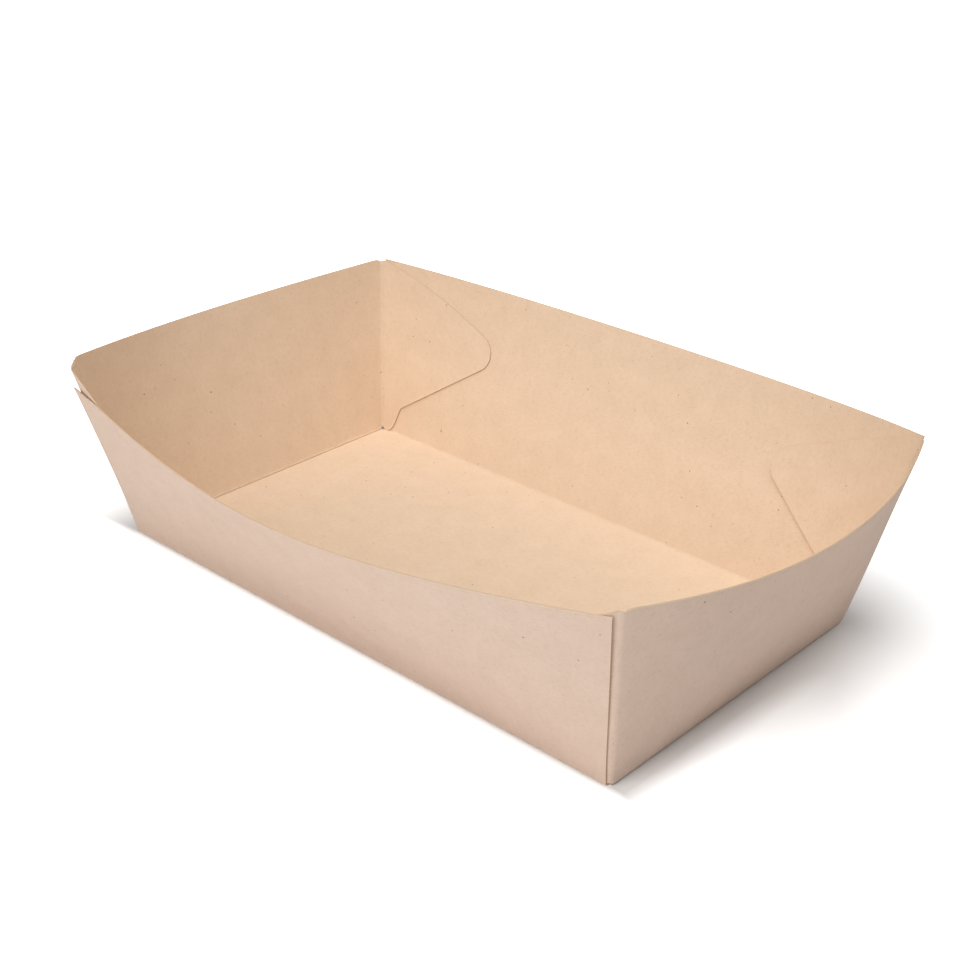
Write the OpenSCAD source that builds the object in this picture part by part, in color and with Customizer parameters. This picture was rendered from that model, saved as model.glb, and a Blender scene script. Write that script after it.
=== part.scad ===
// Food tray folded from one die-cut blank of kraft board.
// X runs along the length, Y across the width, Z up. The origin is the middle of the underside.
// Four walls stand on four creases. Each end wall carries a flap on either side, and each flap
// turns the corner and lies glued against the inner face of the long wall beside it.

/* [Board and base] */
// Length of the base between the end creases
base_len = 200; // [160:1:250]
// Width of the base between the long creases
base_wid = 114; // [90:1:140]
// Thickness of the board
board = 0.45; // [0.35:0.05:0.6]

/* [Corners] */
// Height of the four corners
corner_h = 62.5; // [48:0.5:75]
// How far the front left corner leans out along the length
front_left_out = 10.8; // [7:0.1:15]
// How far the front right corner leans out along the length
front_right_out = 8.8; // [7:0.1:15]
// How far the back left corner leans out along the length
back_left_out = 11.2; // [7:0.1:15]
// How far the back right corner leans out along the length
back_right_out = 12.3; // [7:0.1:15]
// How far each corner leans out across the width
corner_out_wid = 12; // [7:0.5:15]
// How far the top of a corner's fold lies below the rims beside it
fold_drop = 1.8; // [0.5:0.1:3]
// How far the raw ends of the long walls stop short of the corner folds at the base
end_cut_low = 1.1; // [0.9:0.1:4]
// How far the raw ends of the long walls stop short of the corner folds at the rim
end_cut_high = 1.6; // [0.9:0.1:4]

/* [Front wall] */
// Slope height at the middle of the front wall
front_slope = 62.5; // [52:0.5:76]
// Lean of the middle of the front wall, off upright
front_lean = 31; // [22:0.5:38]
// Share of each half of the front rim over which it heads straight on before it bends in
front_run = 0.44; // [0.3:0.01:0.8]
// How far the front rim drops below the height of the corner at its left end
front_left_drop = 8.3; // [0:0.1:12]
// How far the front rim drops below the height of the corner at its right end
front_right_drop = 2; // [0:0.1:12]
// How far the left tip of the front wall springs outward
front_left_spring = 2.4; // [0:0.1:3]
// How far the right tip of the front wall springs outward
front_right_spring = 0.6; // [0:0.1:3]

/* [Back wall] */
// Slope height at the middle of the back wall
back_slope = 63.5; // [52:0.5:76]
// Lean of the middle of the back wall, off upright
back_lean = 26.5; // [20:0.5:38]
// Share of each half of the back rim over which it heads straight on before it bends in
back_run = 0.71; // [0.3:0.01:0.8]
// How far the back rim drops below the height of the corners at its ends
back_drop = 0.2; // [0:0.1:12]
// How far the tips of the back wall spring outward
back_spring = 0.2; // [0:0.1:3]

/* [End walls] */
// Slope height at the middle of the left end wall
left_slope = 62.5; // [52:0.5:76]
// Lean of the middle of the left end wall, off upright
left_lean = 22.5; // [16:0.5:32]
// Slope height at the middle of the right end wall
right_slope = 66; // [52:0.5:76]
// Lean of the middle of the right end wall, off upright
right_lean = 23.5; // [16:0.5:32]
// Share of each half of an end rim over which it heads straight on before it bends in
end_run = 0.5; // [0.3:0.01:0.7]

/* [Flaps] */
// How far a flap reaches along the long wall from its fold
flap_reach = 46.5; // [34:0.5:60]
// Height of the middle of a flap's round tip
flap_tip_h = 36; // [30:0.5:40]
// Radius of a flap's round tip
flap_tip_r = 6; // [3:0.5:9]
// Distance from the fold to the foot of a flap's straight lower edge
flap_foot = 8.7; // [6:0.1:12]
// Height of the foot of a flap's straight lower edge
flap_foot_h = 9.4; // [7:0.1:14]
// Height of the relief notch under a flap
notch_h = 1; // [1:0.1:4]
// Gap between a flap and the long wall that the glue film fills
glue_gap = 0.15; // [0.12:0.01:0.3]

/* [Creases] */
// Length of board that rounds off on each side of a crease or fold
bend = 0.9; // [0.7:0.1:1.2]
// Height of the bead that a crease raises on the inside
bead_h = 0.2; // [0:0.05:0.3]

/* [Hidden] */
half_len = base_len / 2;
half_wid = base_wid / 2;
// The end walls are narrower than the base, so that their flaps pass inside the long walls
lap = board + glue_gap;
fold_half = half_wid - lap;
// The board bends along lines that fan out from the base corners: a higher power gathers them closer
fan = 2.4;
// Share of a wall's slope that the crease takes up
v_crease = bend / corner_h;
// Cells across a crease, up a long wall, along half a long wall, along half an end wall, across a flap
crease_cells = 4;
long_rows = 8;
long_cells = 17;
end_cells = 9;
flap_cells = 5;
fold_cells = 3;
// Points on a flap's notch, lower edge, round tip and upper edge
notch_points = 4;
low_points = 3;
tip_points = 5;
high_points = 4;
search_steps = 22;
// A power above 1 gathers a long wall's rows towards its crease
row_gather = 1.7;
// A power above 1 gathers the walls' columns towards the corners
column_gather = 1.4;
// A sprung tip lifts off along the last part of the rim: a higher power keeps it nearer the tip
spring_gather = 6;
// A flap lies against a sprung wall again after this distance from its fold
follow_len = 9;
// A long rim drops slowly towards its ends, and an end rim rounds off close to the folds
long_drop_power = 2;
end_drop_power = 40;
// How far the two bends of the notch's S-curve lie back from the foot of the flap's lower edge
notch_back = 2.3;
// Share of the upper edge of a flap that lies between the fold and the flap's last corner
flap_top_share = 0.04;

function unit(v) = v / norm(v);

// Parabola from p to r that sets off towards q
function parabola(p, q, r, t) = (1 - t) * (1 - t) * p + 2 * t * (1 - t) * q + t * t * r;

// A wall's own frame is [along the crease from its middle, outward, up].
// Half a wall is its half crease, the middle of its rim, the point its rim sets off to, and its corner.
function half_wall(crease, slope, lean, run, corner) =
    let(middle = [0, slope * sin(lean), slope * cos(lean)])
    [crease, middle, middle + [run * corner.x, 0, 0], corner];

// Each wall has two halves: the left and right halves of a long wall, the front and back ones of an end wall
function long_halves(slope, lean, run, outs) =
    [for (out = outs) half_wall(half_len, slope, lean, run, [half_len + out, corner_out_wid, corner_h])];
function end_halves(slope, lean, run, outs) =
    [for (out = outs) half_wall(fold_half, slope, lean, run, [fold_half + corner_out_wid, out, corner_h])];
front_halves = long_halves(front_slope, front_lean, front_run, [front_left_out, front_right_out]);
back_halves = long_halves(back_slope, back_lean, back_run, [back_left_out, back_right_out]);
left_halves = end_halves(left_slope, left_lean, end_run, [front_left_out, back_left_out]);
right_halves = end_halves(right_slope, right_lean, end_run, [front_right_out, back_right_out]);

function crease_at(w, s) = [w[0] * (1 - pow(1 - s, fan)), 0, 0];
function rim_at(w, s) = parabola(w[1], w[2], w[3], s);

// Outer face of half a wall: s runs from its middle to its corner, v from crease to rim
function face(w, s, v) = (1 - v) * crease_at(w, s) + v * rim_at(w, s);

// Direction from the outer face to the inside of the tray
function inward(w, s, v) =
    let(
        up_slope = rim_at(w, s) - crease_at(w, s),
        along_crease = [w[0] * fan * pow(1 - s, fan - 1), 0, 0],
        along_rim = 2 * (1 - s) * (w[2] - w[1]) + 2 * s * (w[3] - w[2])
    )
    unit(cross((1 - v) * along_crease + v * along_rim, up_slope));

// The s at which half a wall is at height z and this far along
function find_s(w, along, z, low = 0, high = 1, steps = search_steps) =
    let(s = (low + high) / 2)
    steps == 0 ? s :
    face(w, s, z / rim_at(w, s).z).x < along ?
        find_s(w, along, z, s, high, steps - 1) :
        find_s(w, along, z, low, s, steps - 1);

// How far along the corner line of half a wall is at height z
function corner_along(w, z) = w[0] + (w[3].x - w[0]) * z / w[3].z;

// How far short of its corner line a wall ends at height z, from its cut at the base and at the rim
function cut_at(cut, z) = cut[0] + (cut[1] - cut[0]) * z / corner_h;
long_cut = [end_cut_low, end_cut_high];
fold_cut = [bend, bend];

// Point of a wall that is cut or folded short of its corner line: q is the share of the way to that cut,
// depth is how far inside the outer face it lies, drop is how far its rim drops and over which power of q
function wall_point(w, cut, q, v, depth, drop, spring) =
    let(
        v_cut = v * (1 - drop[0] / corner_h * pow(q, drop[1])),
        z = v_cut * corner_h,
        s = q * find_s(w, corner_along(w, z) - cut_at(cut, z), z),
        n = inward(w, s, v_cut)
    )
    face(w, s, v_cut) + (depth - spring * pow(q, spring_gather) * v * v) * n;

// Points from the flat base across the crease and up to the rim, on the outer or the inner skin
function wall_column(w, cut, q, rows, skin, drop, spring) =
    let(
        s = q * find_s(w, w[0] - cut[0], 0),
        foot = crease_at(w, s),
        n = inward(w, s, v_crease),
        start = foot + [0, -bend, skin * board],
        end = wall_point(w, cut, q, v_crease, skin * board, drop, spring),
        slope = rim_at(w, s) - foot,
        corner = skin == 0 ? foot : [foot.x, end.y - (end.z - board) * slope.y / slope.z, board],
        bead = skin * bead_h * unit([0, 0, 1] + n)
    )
    concat(
        [for (i = [0 : crease_cells - 1])
            let(t = i / crease_cells)
            parabola(start, corner, end, t) + sin(180 * t) * bead],
        [for (v = rows) wall_point(w, cut, q, v, skin * board, drop, spring)]
    );

// Outline of a flap as [distance from the fold line, height], from its notch round its tip to its top
function tangent_angle(from, centre, side) =
    let(gap = centre - from)
    atan2(gap.y, gap.x) + side * asin(flap_tip_r / norm(gap));

tip_centre = [flap_reach - flap_tip_r, flap_tip_h];
flap_base = [flap_foot, flap_foot_h];
fold_h = corner_h - fold_drop;
fold_top = [bend, fold_h];
low_angle = tangent_angle(flap_base, tip_centre, -1) - 90;
high_angle = tangent_angle(fold_top, tip_centre, 1) + 90;
function tip_point(angle) = tip_centre + flap_tip_r * [cos(angle), sin(angle)];
function between(p, q, t) = (1 - t) * p + t * q;
flap_top = between(fold_top, tip_point(high_angle), flap_top_share);

// The notch is an S-curve that lies level at the fold and turns up to the flap's lower edge
notch_start = [2 * bend, notch_h];
notch_low = [flap_foot - notch_back, notch_h];
notch_high = [flap_foot - notch_back, (notch_h + flap_foot_h) / 2];
function notch_point(t) =
    between(parabola(notch_start, notch_low, notch_high, t), parabola(notch_low, notch_high, flap_base, t), t);

flap_outline = concat(
    [for (i = [0 : notch_points - 1]) notch_point(i / notch_points)],
    [for (i = [0 : low_points - 1]) between(flap_base, tip_point(low_angle), i / low_points)],
    [for (i = [0 : tip_points - 1]) tip_point(low_angle + (high_angle - low_angle) * i / tip_points)],
    [for (i = [0 : high_points]) between(tip_point(high_angle), flap_top, sin(90 * i / high_points))]
);
flap_rows = len(flap_outline) - 1;

// Heights of the rows, as shares of the slope
function shares(first, cells, power) = [for (i = [0 : cells]) first + (1 - first) * pow(i / cells, power)];
long_shares = shares(v_crease, long_rows, row_gather);
end_shares = concat([v_crease], shares((notch_h + bend) / corner_h, flap_rows, 1));
// Shares of the way from the middle of a wall to its end
function column_share(k, cells) = 1 - pow(1 - abs(k) / cells, column_gather);

// Point of a flap, which lies against the inner face of half a long wall and follows its sprung tip
function flap_point(w, distance, z, depth, spring) =
    let(
        s = find_s(w, corner_along(w, z) - distance, z),
        v = z / rim_at(w, s).z,
        q = s / find_s(w, corner_along(w, z) - cut_at(long_cut, z), z),
        t = max(0, min(1, (distance - bend) / follow_len)),
        follow = t * (3 - t * t) / 2
    )
    face(w, s, v) + (depth - spring * follow * pow(min(q, 1), spring_gather) * v * v) * inward(w, s, v);

// Places a point of a long wall's frame or an end wall's frame in the tray
function put_long(sx, sy, p) = [sx * p.x, sy * (half_wid + p.y), p.z];
function put_end(sx, sy, p) = [sx * (half_len + p.y), sy * p.x, p.z];

// Each skin of the sheet is a list of columns, and the walls are taken anticlockwise seen from above
function long_skin(halves, sy, drops, springs, skin) =
    [for (k = [-long_cells : long_cells])
        let(
            sx = (k < 0 ? 1 : -1) * sy,
            side = sx < 0 ? 0 : 1,
            drop = [drops[side], long_drop_power],
            q = column_share(k, long_cells)
        )
        [for (p = wall_column(halves[side], long_cut, q, long_shares, skin, drop, springs[side]))
            put_long(sx, sy, p)]];

end_drop = [fold_drop, end_drop_power];

function end_skin(halves, sx, skin) =
    [for (k = [-end_cells : end_cells])
        let(sy = (k < 0 ? -1 : 1) * sx, side = sy < 0 ? 0 : 1, q = column_share(k, end_cells))
        [for (p = wall_column(halves[side], fold_cut, q, end_shares, skin, end_drop, 0))
            put_end(sx, sy, p)]];

// A flap starts on the last column of its end wall, turns the fold and runs out to its outline
function flap_skin(end_half, long_half, sx, sy, spring, skin) =
    let(depth = lap + skin * board)
    concat(
        [for (t = [0 : fold_cells - 1])
            [for (i = [0 : flap_rows])
                let(
                    v = end_shares[i + 1],
                    z = v * fold_h,
                    on_end = put_end(sx, sy, wall_point(end_half, fold_cut, 1, v, skin * board, end_drop, 0)),
                    corner = put_long(sx, sy, flap_point(long_half, skin * board, z, depth, 0)),
                    on_flap = put_long(sx, sy, flap_point(long_half, bend, z, depth, 0))
                )
                parabola(on_end, corner, on_flap, t / fold_cells)]],
        [for (j = [0 : flap_cells])
            [for (i = [0 : flap_rows])
                let(p = between([bend, end_shares[i + 1] * fold_h], flap_outline[i], j / flap_cells))
                put_long(sx, sy, flap_point(long_half, p.x, p.y, depth, spring))]]
    );

// A patch is a pair of skins with equal columns and rows. Its points follow one another in one list
function flatten(lists) = [for (l = lists) for (p = l) p];
function patch_points(skins) = concat(flatten(skins[0]), flatten(skins[1]));
function patch_size(skins) = 2 * len(skins[0]) * len(skins[0][0]);
function two_triangles(a, b, c, d) = [[a, b, c], [a, c, d]];
function turn_over(faces) = [for (f = faces) [f[0], f[2], f[1]]];

// Triangles of both skins of a patch whose points start at `at`
function skin_faces(skins, at) =
    let(
        rows = len(skins[0][0]),
        columns = len(skins[0]),
        inner = at + rows * columns
    )
    flatten([for (j = [0 : columns - 2]) for (i = [0 : rows - 2])
        let(a = j * rows + i, b = a + rows)
        concat(
            two_triangles(at + a, at + a + 1, at + b + 1, at + b),
            two_triangles(inner + a, inner + b, inner + b + 1, inner + a + 1)
        )]);

// Cut edge of the board between the two skins, along a path of [column, row]
function edge_faces(skins, at, path) =
    let(
        rows = len(skins[0][0]),
        inner = at + rows * len(skins[0])
    )
    flatten([for (k = [0 : len(path) - 2])
        let(p = path[k][0] * rows + path[k][1], q = path[k + 1][0] * rows + path[k + 1][1])
        two_triangles(at + q, at + p, inner + p, inner + q)]);

function column_path(column, first, last) =
    [for (i = [first : first < last ? 1 : -1 : last]) [column, i]];
function row_path(row, first, last) =
    [for (j = [first : first < last ? 1 : -1 : last]) [j, row]];

// A long wall is edged up one end, along its rim and down the other end
function long_edges(skins, at) =
    let(last = len(skins[0]) - 1, top = len(skins[0][0]) - 1)
    edge_faces(skins, at, concat(
        column_path(0, 0, top), row_path(top, 1, last), column_path(last, top - 1, 0)));

// An end wall is edged below its flaps and along its rim
function end_edges(skins, at) =
    let(last = len(skins[0]) - 1, top = len(skins[0][0]) - 1, notch = crease_cells + 1)
    concat(
        edge_faces(skins, at, column_path(0, 0, notch)),
        edge_faces(skins, at, row_path(top, 0, last)),
        edge_faces(skins, at, column_path(last, notch, 0))
    );

// A flap is edged along its top, round its outline and back along its foot
function flap_edges(skins, at) =
    let(last = len(skins[0]) - 1, top = len(skins[0][0]) - 1)
    edge_faces(skins, at, concat(
        row_path(top, 0, last), column_path(last, top - 1, 0), row_path(0, last - 1, 0)));

// The flat base is a fan of triangles round its middle, on both skins
function base_faces(border, at) =
    let(n = len(border[0]) - 1, inner = at + n + 1)
    flatten([for (k = [0 : n - 1])
        let(a = 1 + k, b = 1 + (k + 1) % n)
        [[at, at + a, at + b], [inner, inner + b, inner + a]]]);

// Cut edge of the base at its four corners, between one wall's last column and the next wall's first
function corner_edges(border, at, counts) =
    let(n = len(border[0]) - 1, inner = at + n + 1)
    flatten([for (c = [0 : 3])
        let(a = counts[c], b = 1 + a % n)
        two_triangles(at + b, at + a, inner + a, inner + b)]);

module tray() {
    walls = [
        [for (k = [0, 1]) long_skin(front_halves, -1,
            [front_left_drop, front_right_drop], [front_left_spring, front_right_spring], k)],
        [for (k = [0, 1]) end_skin(right_halves, 1, k)],
        [for (k = [0, 1]) long_skin(back_halves, 1, [back_drop, back_drop], [back_spring, back_spring], k)],
        [for (k = [0, 1]) end_skin(left_halves, -1, k)]
    ];
    // In the anticlockwise round each end wall's first flap is turned over
    flaps = [
        [for (k = [0, 1]) flap_skin(right_halves[0], front_halves[1], 1, -1, front_right_spring, k)],
        [for (k = [0, 1]) flap_skin(right_halves[1], back_halves[1], 1, 1, back_spring, k)],
        [for (k = [0, 1]) flap_skin(left_halves[1], back_halves[0], -1, 1, back_spring, k)],
        [for (k = [0, 1]) flap_skin(left_halves[0], front_halves[0], -1, -1, front_left_spring, k)]
    ];
    border = [for (k = [0, 1]) concat([[0, 0, k * board]], [for (w = walls) for (column = w[k]) column[0]])];
    long_count = 2 * long_cells + 1;
    end_count = 2 * end_cells + 1;
    counts = [long_count, long_count + end_count, 2 * long_count + end_count, 2 * long_count + 2 * end_count];

    base_size = 2 * len(border[0]);
    patches = concat(walls, flaps);
    starts = [for (k = 0, at = base_size; k < len(patches); at = at + patch_size(patches[k]), k = k + 1) at];
    points = concat(border[0], border[1], flatten([for (p = patches) patch_points(p)]));
    faces = concat(
        base_faces(border, 0),
        corner_edges(border, 0, counts),
        flatten([for (k = [0 : 3]) concat(
            skin_faces(walls[k], starts[k]),
            k % 2 == 0 ? long_edges(walls[k], starts[k]) : end_edges(walls[k], starts[k]))]),
        flatten([for (k = [0 : 3])
            let(own = concat(skin_faces(flaps[k], starts[4 + k]), flap_edges(flaps[k], starts[4 + k])))
            k % 2 == 0 ? turn_over(own) : own])
    );
    color("#d9b48c") polyhedron(points, faces);
}

tray();
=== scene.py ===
import math

import bpy
import numpy as np
from mathutils import Matrix, Vector


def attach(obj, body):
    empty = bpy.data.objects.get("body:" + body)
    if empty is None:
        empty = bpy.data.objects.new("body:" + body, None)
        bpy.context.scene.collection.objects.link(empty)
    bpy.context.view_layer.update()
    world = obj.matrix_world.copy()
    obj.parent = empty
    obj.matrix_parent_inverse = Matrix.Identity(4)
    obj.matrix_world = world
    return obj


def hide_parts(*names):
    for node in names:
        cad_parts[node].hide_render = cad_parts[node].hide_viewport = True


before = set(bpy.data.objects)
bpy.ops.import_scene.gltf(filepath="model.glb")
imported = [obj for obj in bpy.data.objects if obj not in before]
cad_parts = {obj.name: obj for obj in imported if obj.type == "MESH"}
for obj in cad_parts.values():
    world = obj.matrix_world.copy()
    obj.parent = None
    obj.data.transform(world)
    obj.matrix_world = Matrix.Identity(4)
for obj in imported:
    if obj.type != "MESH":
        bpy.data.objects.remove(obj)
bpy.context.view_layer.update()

# Tray: one blank of brown kraft board 0.45 mm thick, die-cut and creased on a press and folded by hand.
# Four bowed walls stand on four creases. Each end wall carries two flaps, which turn the corners and
# are glued inside the long walls. Sizes are in millimetres, in the tray's own frame, with Z up.
BASE_LENGTH = 200.0
BASE_WIDTH = 114.0
BOARD = 0.45
GLUE_GAP = 0.06
CORNER_HEIGHT = 62.2
# How far the corners lean out along the tray: front left, front right, back left, back right
FRONT_LEFT_OUT, FRONT_RIGHT_OUT, BACK_LEFT_OUT, BACK_RIGHT_OUT = 10.8, 8.8, 11.2, 12.3
CORNER_OUT_WIDTH = 12.0
FOLD_DROP = 0.9
LAP = BOARD + GLUE_GAP
HALF_LENGTH = BASE_LENGTH / 2
HALF_WIDTH = BASE_WIDTH / 2
FOLD_HALF = HALF_WIDTH - LAP
FOLD_HEIGHT = CORNER_HEIGHT - FOLD_DROP
# The raw end of a long wall stops this far short of the fold, at the base and at the front and back rims
END_CUT_LOW = 1.1
FRONT_CUT_HIGH = 1.6
BACK_CUT_HIGH = 0.7
# The board rounds off over this length on each side of a crease
BEND = 0.9
CREASE_SHARE = BEND / CORNER_HEIGHT
# Where the crease's bead and slit lie on the way across it, and how wide they are
BEAD_AT, BEAD_WIDTH = 0.56, 0.19
SLIT_AT, SLIT_WIDTH = 0.26, 0.085
# The walls bend along lines that fan out from the base corners
FAN = 2.4
# A flap's outline, as its distance from the fold and its height
FLAP_REACH = 46.5
FLAP_TIP_HEIGHT = 36.0
FLAP_TIP_RADIUS = 6.0
FLAP_FOOT = np.array([8.7, 9.4])
NOTCH_HEIGHT = 0.1
NOTCH_BACK = 2.3
FLAP_TOP_SHARE = 0.04
# A tip that springs off lifts along the last part of the rim, and its flap follows it after this distance
SPRING_GATHER = 6.0
FOLLOW_LENGTH = 3.0
# A long rim drops slowly towards its ends, and an end rim rounds off close to the folds
LONG_DROP_POWER = 2.0
END_DROP = (FOLD_DROP, 90.0)


def half_wall(crease, slope, lean, run, corner):
    """Half a wall: its half crease, the middle of its rim, the point its rim sets off to, and its corner."""
    tilt = math.radians(lean)
    middle = np.array([0.0, slope * math.sin(tilt), slope * math.cos(tilt)])
    heading = middle + [run * corner[0], 0.0, 0.0]
    return {"crease": crease, "middle": middle, "heading": heading, "corner": corner}


def long_halves(slope, lean, run, outs):
    corners = [np.array([HALF_LENGTH + out, CORNER_OUT_WIDTH, CORNER_HEIGHT]) for out in outs]
    return [half_wall(HALF_LENGTH, slope, lean, run, corner) for corner in corners]


def end_halves(slope, lean, run, outs):
    corners = [np.array([FOLD_HALF + CORNER_OUT_WIDTH, out, CORNER_HEIGHT]) for out in outs]
    return [half_wall(FOLD_HALF, slope, lean, run, corner) for corner in corners]


# For each wall: the length of its slope at the middle, its lean from upright in degrees, and the share
# of the way to the corner over which its rim sets off straight
front_halves = long_halves(62.5, 31.0, 0.44, (FRONT_LEFT_OUT, FRONT_RIGHT_OUT))
back_halves = long_halves(63.5, 26.5, 0.71, (BACK_LEFT_OUT, BACK_RIGHT_OUT))
left_halves = end_halves(62.4, 22.5, 0.5, (FRONT_LEFT_OUT, BACK_LEFT_OUT))
right_halves = end_halves(66.0, 23.5, 0.5, (FRONT_RIGHT_OUT, BACK_RIGHT_OUT))


def unit(v):
    return v / np.linalg.norm(v, axis=-1, keepdims=True)


def column(*parts):
    """Puts numbers and arrays together as points."""
    return np.stack(np.broadcast_arrays(*parts), -1).astype(float)


def crease_at(wall, s):
    return column(wall["crease"] * (1 - (1 - s) ** FAN), 0, 0)


def rim_at(wall, s):
    s = s[..., None]
    return (1 - s) ** 2 * wall["middle"] + 2 * s * (1 - s) * wall["heading"] + s ** 2 * wall["corner"]


def face(wall, s, v):
    """Outer face of half a wall: s runs from its middle to its corner, v from crease to rim."""
    v = v[..., None]
    return (1 - v) * crease_at(wall, s) + v * rim_at(wall, s)


def inward(wall, s, v):
    """Direction from the outer face to the inside of the tray."""
    v = v[..., None]
    along_crease = column(wall["crease"] * FAN * (1 - s) ** (FAN - 1), 0, 0)
    t = s[..., None]
    along_rim = 2 * (1 - t) * (wall["heading"] - wall["middle"]) + 2 * t * (wall["corner"] - wall["heading"])
    return unit(np.cross((1 - v) * along_crease + v * along_rim, rim_at(wall, s) - crease_at(wall, s)))


def find_s(wall, along, z):
    """The s at which half a wall is at height z and this far along its crease."""
    along, z = np.broadcast_arrays(along, z)
    low, high = np.zeros(along.shape), np.ones(along.shape)
    for _ in range(40):
        s = (low + high) / 2
        short = face(wall, s, z / rim_at(wall, s)[..., 2])[..., 0] < along
        low, high = np.where(short, s, low), np.where(short, high, s)
    return (low + high) / 2


def corner_along(wall, z):
    """How far along the corner line of half a wall is at height z."""
    return wall["crease"] + (wall["corner"][0] - wall["crease"]) * z / wall["corner"][2]


def front_cut(z):
    return END_CUT_LOW + (FRONT_CUT_HIGH - END_CUT_LOW) * z / CORNER_HEIGHT


def back_cut(z):
    return END_CUT_LOW + (BACK_CUT_HIGH - END_CUT_LOW) * z / CORNER_HEIGHT


def fold_cut(z):
    return BEND + 0 * z


def wall_point(wall, cut, q, v, depth, drop, spring):
    """Point at depth inside a wall that ends short of its corner line. q is the share of the way there."""
    q, v = np.broadcast_arrays(q, v)
    v_cut = v * (1 - drop[0] / CORNER_HEIGHT * q ** drop[1])
    z = v_cut * CORNER_HEIGHT
    s = q * find_s(wall, corner_along(wall, z) - cut(z), z)
    off = depth - spring * q ** SPRING_GATHER * v * v
    return face(wall, s, v_cut) + off[..., None] * inward(wall, s, v_cut)


def wall_grid(wall, cut, q, rows, skin, drop, spring, bead, slit):
    """Columns of points of half a wall, from the flat base across the crease and up to the rim."""
    s = q * find_s(wall, wall["crease"] - cut(0 * q), 0 * q)
    v = CREASE_SHARE + 0 * q
    foot = crease_at(wall, s)
    n = inward(wall, s, v)
    start = foot + [0, -BEND, skin * BOARD]
    end = wall_point(wall, cut, q, v, skin * BOARD, drop, spring)
    slope = rim_at(wall, s) - foot
    inner_y = end[:, 1] - (end[:, 2] - BOARD) * slope[:, 1] / slope[:, 2]
    corner = foot if skin == 0 else column(foot[:, 0], inner_y, BOARD)
    raised = unit(n + [0, 0, 1])
    t = (np.arange(CREASE_CELLS) / CREASE_CELLS)[None, :, None]
    ridge = bead * np.exp(-((t - BEAD_AT) / BEAD_WIDTH) ** 2)
    ridge -= slit * np.exp(-((t - SLIT_AT) / SLIT_WIDTH) ** 2)
    across = (1 - t) ** 2 * start[:, None] + 2 * t * (1 - t) * corner[:, None] + t ** 2 * end[:, None]
    across = across + skin * ridge * raised[:, None]
    up = wall_point(wall, cut, q[:, None], rows[None, :], skin * BOARD, drop, spring)
    return np.concatenate([across, up], 1)


def tangent_angle(start, centre, side):
    gap = centre - start
    return math.atan2(gap[1], gap[0]) + side * math.asin(FLAP_TIP_RADIUS / np.linalg.norm(gap))


def tip_point(angle):
    return flap_centre + FLAP_TIP_RADIUS * np.array([math.cos(angle), math.sin(angle)])


# Cells of the mesh: across a crease, up a long wall, along half a wall, across a flap and a fold, below
# the notch, and along the stretches of a flap's outline
CREASE_CELLS = 20
LONG_ROWS = 30
LONG_CELLS = 46
END_CELLS = 30
FLAP_CELLS = 26
FOLD_CELLS = 8
LOW_ROWS = 1
NOTCH_POINTS = 10
STRAIGHT_POINTS = 12
TIP_POINTS = 14
# Columns gather towards a wall's ends and rows towards its crease
GATHER = 1.4

# The flap's outline, from its relief notch round its tip to its top
flap_centre = np.array([FLAP_REACH - FLAP_TIP_RADIUS, FLAP_TIP_HEIGHT])
fold_top = np.array([BEND, FOLD_HEIGHT])
low_angle = tangent_angle(FLAP_FOOT, flap_centre, -1) - math.pi / 2
high_angle = tangent_angle(fold_top, flap_centre, 1) + math.pi / 2
flap_top = fold_top + FLAP_TOP_SHARE * (tip_point(high_angle) - fold_top)
notch_x = FLAP_FOOT[0] - NOTCH_BACK
notch = [np.array([2 * BEND, NOTCH_HEIGHT]), np.array([notch_x, NOTCH_HEIGHT]),
         np.array([notch_x, (NOTCH_HEIGHT + FLAP_FOOT[1]) / 2]), FLAP_FOOT]
outline = [(1 - t) ** 3 * notch[0] + 3 * t * (1 - t) ** 2 * notch[1]
           + 3 * t * t * (1 - t) * notch[2] + t ** 3 * notch[3]
           for t in np.arange(NOTCH_POINTS) / NOTCH_POINTS]
outline += [FLAP_FOOT + t * (tip_point(low_angle) - FLAP_FOOT)
            for t in np.arange(STRAIGHT_POINTS) / STRAIGHT_POINTS]
outline += [tip_point(low_angle + t * (high_angle - low_angle)) for t in np.arange(TIP_POINTS) / TIP_POINTS]
outline += [tip_point(high_angle) + math.sin(t * math.pi / 2) * (flap_top - tip_point(high_angle))
            for t in np.arange(STRAIGHT_POINTS + 1) / STRAIGHT_POINTS]
outline = np.array(outline)

long_shares = CREASE_SHARE + (1 - CREASE_SHARE) * (np.arange(LONG_ROWS + 1) / LONG_ROWS) ** GATHER
notch_share = (NOTCH_HEIGHT + BEND) / CORNER_HEIGHT
low_shares = CREASE_SHARE + (notch_share - CREASE_SHARE) * np.arange(LOW_ROWS) / LOW_ROWS
flap_shares = notch_share + (1 - notch_share) * np.arange(len(outline)) / (len(outline) - 1)
end_shares = np.concatenate([low_shares, flap_shares])


def flap_point(wall, distance, z, depth, spring=0.0):
    """Point of a flap, which lies against the inner face of half a long wall."""
    s = find_s(wall, corner_along(wall, z) - distance, z)
    v = z / rim_at(wall, s)[..., 2]
    q = s / find_s(wall, corner_along(wall, z) - front_cut(z), z)
    t = np.clip((distance - BEND) / FOLLOW_LENGTH, 0, 1)
    follow = t * (3 - t * t) / 2
    off = depth - spring * follow * np.minimum(q, 1) ** SPRING_GATHER * v * v
    return face(wall, s, v) + off[..., None] * inward(wall, s, v)


def put_long(sx, sy, p):
    """Places a point of a long wall's own frame, which is along its crease, outward and up."""
    return column(sx * p[..., 0], sy * (HALF_WIDTH + p[..., 1]), p[..., 2])


def put_end(sx, sy, p):
    return column(sx * (HALF_LENGTH + p[..., 1]), sy * p[..., 0], p[..., 2])


# The sheet is a set of patches. Each has the points of its outer and inner skin and its place on the blank
patches = []


def add_patch(outer, inner, blank):
    patches.append((outer, inner, blank))


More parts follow.
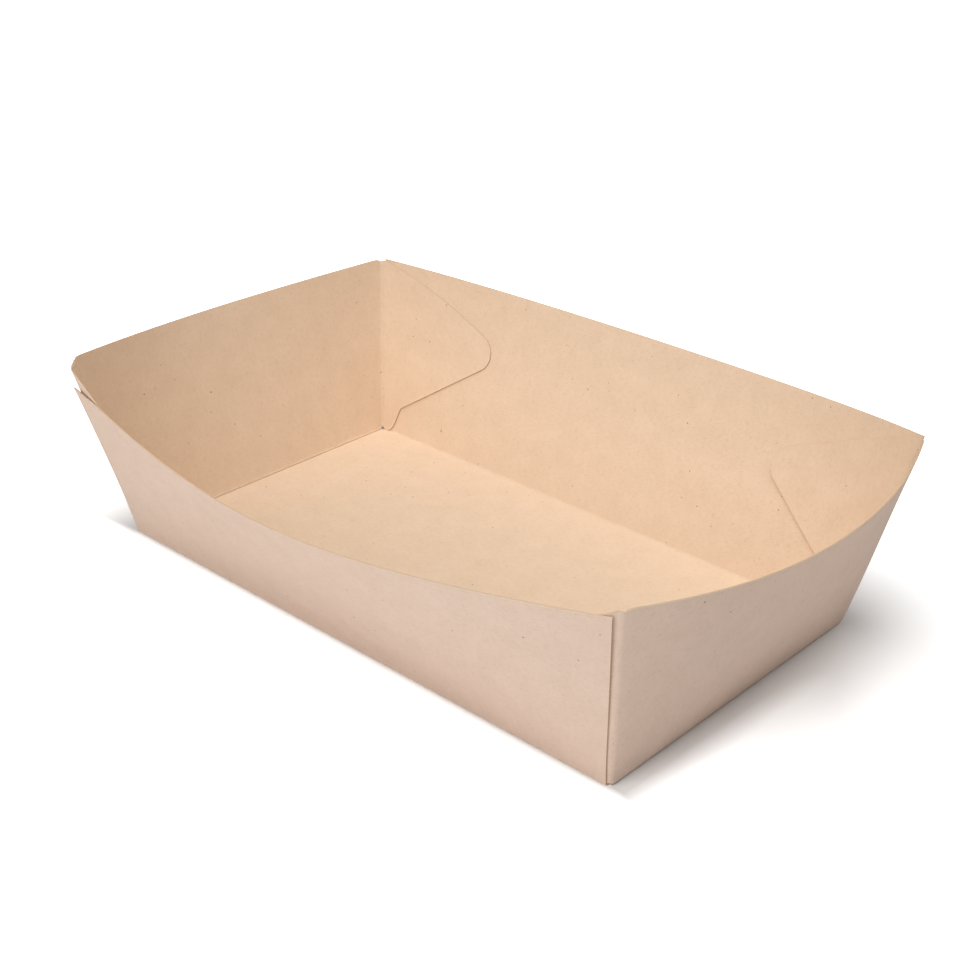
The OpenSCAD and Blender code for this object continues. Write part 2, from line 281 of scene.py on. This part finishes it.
def column_shares(cells):
    """Shares of the way from the middle of a wall to its end, gathered towards the end."""
    return 1 - (1 - np.arange(cells + 1) / cells) ** GATHER


def up_blank(shares):
    """How far up the flat blank the points of a column lie, from where the base's bend begins."""
    return np.concatenate([np.arange(CREASE_CELLS) / CREASE_CELLS * 2 * BEND, BEND + shares * CORNER_HEIGHT])


def long_patch(halves, sy, cut, drops, springs, bead, slit):
    for wall, sx, drop, spring in zip(halves, (-1, 1), drops, springs):
        q = column_shares(LONG_CELLS)
        fall = (drop, LONG_DROP_POWER)
        grids = [wall_grid(wall, cut, q, long_shares, skin, fall, spring, bead, slit) for skin in (0, 1)]
        skins = [put_long(sx, sy, grid) for grid in grids]
        up = up_blank(long_shares)
        blank = column(skins[0][..., 0], sy * (HALF_WIDTH - BEND + up)[None, :] + 0 * skins[0][..., 0])
        add_patch(skins[0], skins[1], blank)


def end_patch(halves, sx, bead, slit):
    for wall, sy in zip(halves, (-1, 1)):
        q = column_shares(END_CELLS)
        grids = [wall_grid(wall, fold_cut, q, end_shares, skin, END_DROP, 0, bead, slit) for skin in (0, 1)]
        skins = [put_end(sx, sy, grid) for grid in grids]
        up = up_blank(end_shares)
        blank = column(sx * (HALF_LENGTH - BEND + up)[None, :] + 0 * skins[0][..., 0], skins[0][..., 1])
        add_patch(skins[0], skins[1], blank)


def flap_patch(end_half, long_half, sx, sy, spring, bead):
    z = flap_shares * FOLD_HEIGHT
    skins = []
    for skin in (0, 1):
        depth = LAP + skin * BOARD
        rim_end = wall_point(end_half, fold_cut, np.ones(len(z)), flap_shares, skin * BOARD, END_DROP, 0)
        on_end = put_end(sx, sy, rim_end)
        corner = put_long(sx, sy, flap_point(long_half, skin * BOARD + 0 * z, z, depth))
        on_flap = put_long(sx, sy, flap_point(long_half, BEND + 0 * z, z, depth))
        t = (np.arange(FOLD_CELLS) / FOLD_CELLS)[:, None, None]
        fold = (1 - t) ** 2 * on_end + 2 * t * (1 - t) * corner + t ** 2 * on_flap
        raised = unit(on_end + on_flap - 2 * corner)
        fold = fold + skin * bead * np.sin(math.pi * t) ** 2 * raised
        t = (np.arange(FLAP_CELLS + 1) / FLAP_CELLS)[:, None, None]
        places = (1 - t) * column(BEND, z)[None] + t * outline[None]
        flat = put_long(sx, sy, flap_point(long_half, places[..., 0], places[..., 1], depth, spring))
        skins.append(np.concatenate([fold, flat], 0))
    round_fold = (np.arange(FOLD_CELLS) / FOLD_CELLS * 2 * BEND - BEND)[:, None] + 0 * z
    turned = np.concatenate([round_fold, places[..., 0]], 0)
    height = np.concatenate([np.tile(z, (FOLD_CELLS, 1)), places[..., 1]], 0)
    fold_y = FOLD_HALF + CORNER_OUT_WIDTH * height / CORNER_HEIGHT
    add_patch(skins[0], skins[1], column(sx * (HALF_LENGTH + height), sy * (fold_y + turned)))


# The long walls have their ends' drops and springs, then all walls have their crease's bead and slit. A
# flap has the spring of the tip that it follows and its fold's bead
long_patch(front_halves, -1, front_cut, (8.3, 2.0), (2.4, 0.6), 0.1, 0.04)
long_patch(back_halves, 1, back_cut, (0.2, 0.2), (0.2, 0.2), 0.08, 0.03)
end_patch(left_halves, -1, 0.3, 0.2)
end_patch(right_halves, 1, 0.2, 0.12)
flap_patch(right_halves[0], front_halves[1], 1, -1, 0.6, 0.1)
flap_patch(right_halves[1], back_halves[1], 1, 1, 0.2, 0.1)
flap_patch(left_halves[1], back_halves[0], -1, 1, 0.2, 0.1)
flap_patch(left_halves[0], front_halves[0], -1, -1, 2.4, 0.1)

# The flat base joins the lower ends of the walls' columns. Its four corners are cut off at an angle
q = column_shares(LONG_CELLS)
x = crease_at(front_halves[0], q * find_s(front_halves[0], HALF_LENGTH - front_cut(0 * q), 0 * q))[:, 0]
q = column_shares(END_CELLS)
y = crease_at(left_halves[0], q * find_s(left_halves[0], FOLD_HALF - fold_cut(0 * q), 0 * q))[:, 0]
xs = np.concatenate([[BEND - HALF_LENGTH], -x[:0:-1], x, [HALF_LENGTH - BEND]])
ys = np.concatenate([[BEND - HALF_WIDTH], -y[:0:-1], y, [HALF_WIDTH - BEND]])
gx, gy = np.meshgrid(xs, ys, indexing="ij")
add_patch(column(gx, gy, 0), column(gx, gy, BOARD), column(gx, gy))


SWAY_SEED = 7
SWAY_WAVES = 14
SWAY_LENGTHS = (32, 85)


def sway(p):
    """Slow waves that springy board keeps after it is folded by hand, in millimetres."""
    waves = np.random.default_rng(SWAY_SEED)
    total = np.zeros(p.shape[:-1])
    for _ in range(SWAY_WAVES):
        heading = unit(waves.normal(size=3))
        length = waves.uniform(*SWAY_LENGTHS)
        turns = p @ heading / length
        total += math.sqrt(length) * np.sin(2 * math.pi * turns + waves.uniform(0, 2 * math.pi))
    return total / (2 * SWAY_WAVES)


SWAY_DEPTH = 0.16
BASE_SWAY = 0.12
# A die cuts the board with slightly rounded lips
LIP = 0.09
LIP_STEPS = 3
# On the flat blank a step of the lip is this long
LIP_BLANK = 0.12
SHARP_DEGREES = 50
MM = 0.001

# The patches share the points of their borders, which are merged. A point keeps its outer and inner place
outer = np.concatenate([p[0].reshape(-1, 3) for p in patches])
inner = np.concatenate([p[1].reshape(-1, 3) for p in patches])
blank = np.concatenate([p[2].reshape(-1, 2) for p in patches])
quads = []
at = 0
for grid, _, _ in patches:
    columns, rows = grid.shape[:2]
    index = at + np.arange(columns * rows).reshape(columns, rows)
    cells = np.stack([index[:-1, :-1], index[1:, :-1], index[1:, 1:], index[:-1, 1:]], -1).reshape(-1, 4)
    quads.append(cells)
    at += columns * rows
corner_cells = []
columns, rows = patches[-1][0].shape[:2]
base_at = at - columns * rows
for i, j in ((0, 0), (0, rows - 2), (columns - 2, 0), (columns - 2, rows - 2)):
    corner_cells.append(i * (rows - 1) + j)
base_cells = quads[-1]
off_corner = {base_at, base_at + rows - 1, base_at + (columns - 1) * rows, base_at + columns * rows - 1}
triangles = np.array([[k for k in base_cells[c] if k not in off_corner] for c in corner_cells])
quads[-1] = np.delete(base_cells, corner_cells, 0)
quads = np.concatenate(quads)

# Points of two patches are one point where they agree to a ten-thousandth of a millimetre
MERGE_SCALE = 1e4
rounded = np.round(outer * MERGE_SCALE).astype(np.int64)
_, first, merged = np.unique(rounded, axis=0, return_index=True, return_inverse=True)
merged = merged.reshape(-1)
outer, inner = outer[first], inner[first]

middle = (outer + inner) / 2
through = unit(inner - outer)
height = np.clip(middle[:, 2] / CORNER_HEIGHT, 0, 1)
x_share = np.clip(1 - (middle[:, 0] / HALF_LENGTH) ** 2, 0, 1)
y_share = np.clip(1 - (middle[:, 1] / HALF_WIDTH) ** 2, 0, 1)
depth = SWAY_DEPTH * np.clip(height * 5, 0, 1) * (1 - 0.6 * height) * sway(middle)
depth += BASE_SWAY * (height < 0.01) * x_share * y_share * (1.4 + sway(middle))
outer, inner = outer + depth[:, None] * through, inner + depth[:, None] * through

cells = [list(map(int, merged[c])) for c in quads] + [list(map(int, merged[c])) for c in triangles]
places = [blank[c] for c in quads] + [blank[c] for c in triangles]
for k, c in enumerate(cells):
    normal = np.cross(outer[c[2]] - outer[c[0]], outer[c[-1]] - outer[c[1]])
    if normal @ through[c[0]] > 0:
        cells[k], places[k] = c[::-1], places[k][::-1]

sides = {}
for k, c in enumerate(cells):
    for i in range(len(c)):
        sides.setdefault((c[i], c[i - 1]), []).append((k, i))
border = [(a, b, *sides[a, b][0]) for a, b in sides if (b, a) not in sides]

# At the cut edge both skins draw back by the lip, and the edge bulges between them
pull = {}
for a, b, k, i in border:
    along = unit(middle[b] - middle[a])
    for end in (a, b):
        out = np.cross(along, through[end])
        inside = middle[cells[k]].mean(0) - middle[end]
        pull.setdefault(end, []).append(out * (-1 if out @ inside > 0 else 1))
edge_points = sorted(pull)
edge_out = {a: unit(np.mean(pull[a], 0)) for a in edge_points}
for a in edge_points:
    outer[a] -= LIP * edge_out[a]
    inner[a] -= LIP * edge_out[a]

count = len(outer)
rings = {}
extra = []
for a in edge_points:
    rings[a] = [a]
    for step in range(1, LIP_STEPS + 1):
        t = step / (LIP_STEPS + 1)
        bulge = LIP * math.sqrt(1 - (2 * t - 1) ** 2)
        extra.append((1 - t) * outer[a] + t * inner[a] + bulge * edge_out[a])
        rings[a].append(2 * count + len(extra) - 1)
    rings[a].append(count + a)

INNER_SHIFT = 400.0
faces = []
loops = []
for c, p in zip(cells, places):
    faces.append(c)
    loops.append(p)
for c, p in zip(cells, places):
    faces.append([count + a for a in c[::-1]])
    loops.append(p[::-1] + [INNER_SHIFT, 0])
skin_faces = len(faces)
for a, b, k, i in border:
    pa, pb = places[k][i], places[k][i - 1]
    for step in range(LIP_STEPS + 1):
        low, high = LIP_BLANK * step, LIP_BLANK * (step + 1)
        quad = [rings[a][step], rings[b][step], rings[b][step + 1], rings[a][step + 1]]
        faces.append(quad)
        loops.append(np.array([pa + low, pb + low, pb + high, pa + high]))

points = np.concatenate([outer, inner, np.array(extra)]) * MM
# Nothing lies lower than the table
points[:, 2] = np.maximum(points[:, 2], 0)
mesh = bpy.data.meshes.new("tray")
mesh.from_pydata(points.tolist(), [], faces)
mesh.update()
layer = mesh.uv_layers.new(name="blank")
layer.data.foreach_set("uv", np.concatenate(loops).astype(np.float32).ravel())
cut_mark = mesh.attributes.new("cut_edge", "FLOAT", "FACE")
cut_mark.data.foreach_set("value", (np.arange(len(faces)) >= skin_faces).astype(np.float32))
inner_mark = mesh.attributes.new("inner_side", "FLOAT", "FACE")
inner_mark.data.foreach_set("value", (np.arange(len(faces)) >= len(cells)).astype(np.float32))
mesh.polygons.foreach_set("use_smooth", np.ones(len(faces), bool))
mesh.set_sharp_from_angle(angle=math.radians(SHARP_DEGREES))
tray = bpy.data.objects.new("folded_tray", mesh)
bpy.context.scene.collection.objects.link(tray)


def linear(hex_colour):
    """A colour written as sRGB hex, as the linear colour that a socket takes."""
    parts = [int(hex_colour[i:i + 2], 16) / 255 for i in (1, 3, 5)]
    return tuple(c / 12.92 if c <= 0.04045 else ((c + 0.055) / 1.055) ** 2.4 for c in parts) + (1.0,)


def node(tree, kind, inputs=None, **settings):
    """Adds a node with its settings, and fills its inputs with values or links."""
    made = tree.nodes.new(kind)
    for name, value in settings.items():
        setattr(made, name, value)
    for name, value in (inputs or {}).items():
        if isinstance(value, bpy.types.NodeSocket):
            tree.links.new(value, made.inputs[name])
        else:
            made.inputs[name].default_value = value
    return made


# Uncoated brown kraft board is matt and faintly cloudy, with short light and dark fibres and a few specks
board = bpy.data.materials.new("uncoated_kraft_board_matt")
board.use_nodes = True
tree = board.node_tree
shader = tree.nodes["Principled BSDF"]
shader.inputs["Roughness"].default_value = 0.82
shader.inputs["IOR"].default_value = 1.47
sheet = node(tree, "ShaderNodeUVMap", uv_map="blank").outputs["UV"]

# The pulp settles in clouds some 9 mm across, with a finer mottle of about 1 mm
clouds = node(tree, "ShaderNodeTexNoise",
              {"Vector": sheet, "Scale": 1 / 9.0, "Detail": 3.0, "Roughness": 0.6}).outputs["Fac"]
mottle = node(tree, "ShaderNodeTexNoise",
              {"Vector": sheet, "Scale": 1 / 1.3, "Detail": 4.0, "Roughness": 0.7}).outputs["Fac"]

# Fibres are 1 to 3 mm long and 0.03 mm wide, and are drawn 0.2 mm wide to show
bow = node(tree, "ShaderNodeTexNoise", {"Vector": sheet, "Scale": 1 / 4.0, "Detail": 1.0}).outputs["Color"]
bent = node(tree, "ShaderNodeVectorMath", {0: bow, 1: (2.2, 2.2, 0.0)},
            operation="MULTIPLY").outputs["Vector"]
bent = node(tree, "ShaderNodeVectorMath", {0: sheet, 1: bent}, operation="ADD").outputs["Vector"]
fibres = []
for turn, across in ((0.15, 0.2), (1.2, 0.24), (2.2, 0.2), (2.9, 0.26)):
    laid = node(tree, "ShaderNodeMapping",
                {"Vector": bent, "Rotation": (0, 0, turn),
                 "Location": (37 * turn, 11.0, 0.0)}).outputs["Vector"]
    drawn = node(tree, "ShaderNodeVectorMath", {0: laid, 1: (1 / 2.2, 1 / across, 1.0)},
                 operation="MULTIPLY").outputs["Vector"]
    strand = node(tree, "ShaderNodeTexNoise", {"Vector": drawn, "Scale": 1.0, "Detail": 0.0},
                  noise_dimensions="2D").outputs["Fac"]
    fibres.append(node(tree, "ShaderNodeMapRange",
                       {"Value": strand, "From Min": 0.66, "From Max": 0.82, "To Min": 0.0,
                        "To Max": 1.0}).outputs["Result"])
light_fibre = node(tree, "ShaderNodeMath", {0: fibres[0], 1: fibres[1]},
                   operation="MAXIMUM").outputs["Value"]
dark_fibre = node(tree, "ShaderNodeMath", {0: fibres[2], 1: fibres[3]}, operation="MAXIMUM").outputs["Value"]

# Specks of bark 0.2 to 0.6 mm across lie a centimetre or so apart
cell = node(tree, "ShaderNodeTexVoronoi", {"Vector": bent, "Scale": 1 / 7.0, "Randomness": 1.0},
            voronoi_dimensions="2D")
speck_size = node(tree, "ShaderNodeSeparateColor", {"Color": cell.outputs["Color"]}).outputs["Red"]
speck_reach = node(tree, "ShaderNodeMapRange",
                   {"Value": speck_size, "From Min": 0.65, "From Max": 1.0, "To Min": 0.0,
                    "To Max": 0.045}).outputs["Result"]
speck_edge = node(tree, "ShaderNodeMath", {0: speck_reach, 1: cell.outputs["Distance"]},
                  operation="SUBTRACT").outputs["Value"]
speck = node(tree, "ShaderNodeMapRange",
             {"Value": speck_edge, "From Min": 0.0, "From Max": 0.02, "To Min": 0.0,
              "To Max": 1.0}).outputs["Result"]

tone = node(tree, "ShaderNodeMapRange",
            {"Value": clouds, "From Min": 0.3, "From Max": 0.7, "To Min": -0.5,
             "To Max": 0.5}).outputs["Result"]
grain = node(tree, "ShaderNodeMapRange",
             {"Value": mottle, "From Min": 0.3, "From Max": 0.7, "To Min": -0.5,
              "To Max": 0.5}).outputs["Result"]
tone = node(tree, "ShaderNodeMath", {0: tone, 1: 0.4, 2: 0.5}, operation="MULTIPLY_ADD").outputs["Value"]
tone = node(tree, "ShaderNodeMath", {0: grain, 1: 0.1, 2: tone}, operation="MULTIPLY_ADD").outputs["Value"]
# The outer side is a little paler and pinker than the inner side. This is partly the board's own two faces
# and partly painted light: the inner side's warmer tint stands in for the warm light that bounces between
# the walls inside the tray
inside = node(tree, "ShaderNodeAttribute", attribute_name="inner_side").outputs["Fac"]
dull = node(tree, "ShaderNodeMix", {"Factor": inside, "A": linear("#dec3af"), "B": linear("#e0c4a7")},
            data_type="RGBA").outputs["Result"]
fair = node(tree, "ShaderNodeMix", {"Factor": inside, "A": linear("#ebd1bf"), "B": linear("#edd3b8")},
            data_type="RGBA").outputs["Result"]
colour = node(tree, "ShaderNodeMix", {"Factor": tone, "A": dull, "B": fair},
              data_type="RGBA").outputs["Result"]
faint = node(tree, "ShaderNodeMath", {0: light_fibre, 1: 0.2}, operation="MULTIPLY").outputs["Value"]
colour = node(tree, "ShaderNodeMix", {"Factor": faint, "A": colour, "B": linear("#f0dfcc")},
              data_type="RGBA").outputs["Result"]
faint = node(tree, "ShaderNodeMath", {0: dark_fibre, 1: 0.16}, operation="MULTIPLY").outputs["Value"]
colour = node(tree, "ShaderNodeMix", {"Factor": faint, "A": colour, "B": linear("#b08c69")},
              data_type="RGBA").outputs["Result"]
faint = node(tree, "ShaderNodeMath", {0: speck, 1: 0.7}, operation="MULTIPLY").outputs["Value"]
colour = node(tree, "ShaderNodeMix", {"Factor": faint, "A": colour, "B": linear("#7d5636")},
              data_type="RGBA").outputs["Result"]

# A die-cut edge shows the raw middle of the board. Its colour is set darker than the faces, which is painted
# shade that tones down the light line along the rims
cut = node(tree, "ShaderNodeAttribute", attribute_name="cut_edge").outputs["Fac"]
colour = node(tree, "ShaderNodeMix", {"Factor": cut, "A": colour, "B": linear("#cfb394")},
              data_type="RGBA").outputs["Result"]
tree.links.new(colour, shader.inputs["Base Color"])
relief = node(tree, "ShaderNodeMath", {0: light_fibre, 1: 0.5, 2: mottle},
              operation="MULTIPLY_ADD").outputs["Value"]
bump = node(tree, "ShaderNodeBump",
            {"Height": relief, "Strength": 0.12, "Distance": 0.00006}).outputs["Normal"]
tree.links.new(bump, shader.inputs["Normal"])

tray.data.materials.append(board)
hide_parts("tray")
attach(tray, "root")

# Table: a plain sheet of matt white laminate, which takes the tray's shadow. A glow that only the camera
# sees makes it white, and lights nothing. This glow is painted light, which covers that shadow in front, to
# the left and away from the tray.
table_mesh = bpy.data.meshes.new("table")
TABLE_HALF = 4.0
table_corners = [(sx * TABLE_HALF, sy * TABLE_HALF, 0) for sx, sy in ((-1, -1), (1, -1), (1, 1), (-1, 1))]
table_mesh.from_pydata(table_corners, [], [(0, 1, 2, 3)])
table = bpy.data.objects.new("table", table_mesh)
bpy.context.scene.collection.objects.link(table)
TABLE_DROP = 0.0001
table.location.z = -TABLE_DROP
white = bpy.data.materials.new("matt_white_laminate")
white.use_nodes = True
tree = white.node_tree
surface = tree.nodes["Principled BSDF"]
surface.inputs["Base Color"].default_value = linear("#f2f2f2")
surface.inputs["Roughness"].default_value = 0.9
surface.inputs["Specular IOR Level"].default_value = 0.2
ray = node(tree, "ShaderNodeLightPath")
# The painted light covers the tray's shadow all round the tray, but leaves the shadow whole close to the
# right end
place = node(tree, "ShaderNodeNewGeometry").outputs["Position"]
aside = node(tree, "ShaderNodeVectorMath", {0: place}, operation="ABSOLUTE").outputs["Vector"]
aside = node(tree, "ShaderNodeVectorMath", {0: aside, 1: (HALF_LENGTH * MM, HALF_WIDTH * MM, 1.0)},
             operation="SUBTRACT").outputs["Vector"]
aside = node(tree, "ShaderNodeVectorMath", {0: aside, 1: (0, 0, 0)}, operation="MAXIMUM").outputs["Vector"]
away = node(tree, "ShaderNodeVectorMath", {0: aside}, operation="LENGTH").outputs["Value"]
along = node(tree, "ShaderNodeSeparateXYZ", {"Vector": place})
GLOW = 0.8
zones = [("X", -0.098, -0.130), ("Y", -0.056, -0.060), ("Y", 0.050, -0.057)]
parts = []
for axis, start, end in zones:
    reach = {"Value": along.outputs[axis], "From Min": start, "From Max": end, "To Min": 0.0, "To Max": GLOW}
    parts.append(node(tree, "ShaderNodeMapRange", reach).outputs["Result"])
beside = node(tree, "ShaderNodeMapRange",
              {"Value": along.outputs["X"], "From Min": 0.1035, "From Max": 0.113, "To Min": 0.0,
               "To Max": 1.0}).outputs["Result"]
parts[2] = node(tree, "ShaderNodeMath", {0: parts[2], 1: beside}, operation="MULTIPLY").outputs["Value"]
# Painted light: how much of the camera-only glow covers the tray's shadow at each place on the table
painted_light_share = node(tree, "ShaderNodeMapRange",
                   {"Value": away, "From Max": 0.09, "To Min": 0.0, "To Max": 1.0}).outputs["Result"]
for part in parts:
    painted_light_share = node(tree, "ShaderNodeMath", {0: painted_light_share, 1: part},
                       operation="MAXIMUM").outputs["Value"]
glow = node(tree, "ShaderNodeMath", {0: ray.outputs["Is Camera Ray"], 1: painted_light_share},
            operation="MULTIPLY").outputs["Value"]
lift = node(tree, "ShaderNodeEmission", {"Color": (1, 1, 1, 1), "Strength": glow}).outputs["Emission"]
both = node(tree, "ShaderNodeAddShader", {0: surface.outputs["BSDF"], 1: lift}).outputs["Shader"]
tree.links.new(both, tree.nodes["Material Output"].inputs["Surface"])
table.data.materials.append(white)

# Light: soft boxes in front of the tray, above it and high on its right, in a dim white room.
# Each box hangs on a sphere round the tray, by its azimuth and elevation in degrees, and has its watts.
BOX_SIZE = 0.9
BOX_DISTANCE = 1.4
AIM = Vector((0, 0, 0.02))
BOXES = [("front_box", -90, 30, 10.0), ("top_box", -90, 89, 7.2), ("right_box", 0, 70, 7.2)]
for name, azimuth, elevation, watts in BOXES:
    box_light = bpy.data.lights.new(name, "AREA")
    box_light.shape = "SQUARE"
    box_light.size = BOX_SIZE
    box_light.energy = watts
    lamp = bpy.data.objects.new(name, box_light)
    a, e = math.radians(azimuth), math.radians(elevation)
    towards = Vector((math.cos(e) * math.cos(a), math.cos(e) * math.sin(a), math.sin(e)))
    lamp.location = AIM + BOX_DISTANCE * towards
    lamp.rotation_euler = towards.to_track_quat("Z", "Y").to_euler()
    bpy.context.scene.collection.objects.link(lamp)

room = bpy.data.worlds.new("white_room")
bpy.context.scene.world = room
room.use_nodes = True
tree = room.node_tree
ray = node(tree, "ShaderNodeLightPath")
seen = node(tree, "ShaderNodeMath", {0: ray.outputs["Is Camera Ray"], 1: ray.outputs["Is Glossy Ray"]},
            operation="MAXIMUM").outputs["Value"]
seen = node(tree, "ShaderNodeMath", {0: seen, 1: ray.outputs["Is Transmission Ray"]},
            operation="MAXIMUM").outputs["Value"]
level = node(tree, "ShaderNodeMapRange", {"Value": seen, "To Min": 0.08, "To Max": 1.0}).outputs["Result"]
air = tree.nodes["Background"]
air.inputs["Color"].default_value = (1, 1, 1, 1)
tree.links.new(level, air.inputs["Strength"])

# Camera: stands and looks as a fit to the photograph's edges puts it, with that fit's focal length
CAMERA_AT = Vector((0.30061, -0.33020, 0.25670))
YAW, PITCH, ROLL = 0.73597, -0.46348, 0.01740
FOCAL_PIXELS = 1614.90
FRAME_PIXELS = 960
ahead = Vector((-math.sin(YAW) * math.cos(PITCH), math.cos(YAW) * math.cos(PITCH), math.sin(PITCH)))
right = Vector((math.cos(YAW), math.sin(YAW), 0))
above = right.cross(ahead)
turned_right = math.cos(ROLL) * right + math.sin(ROLL) * above
turned_above = math.cos(ROLL) * above - math.sin(ROLL) * right
view = bpy.data.cameras.new("view")
view.sensor_width = 36.0
view.lens = FOCAL_PIXELS / FRAME_PIXELS * view.sensor_width
view.clip_start = 0.01
camera = bpy.data.objects.new("view", view)
facing = Matrix((turned_right, turned_above, -ahead)).transposed().to_4x4()
camera.matrix_world = Matrix.Translation(CAMERA_AT) @ facing
bpy.context.scene.collection.objects.link(camera)
bpy.context.scene.camera = camera
bpy.context.scene.view_settings.view_transform = "Standard"
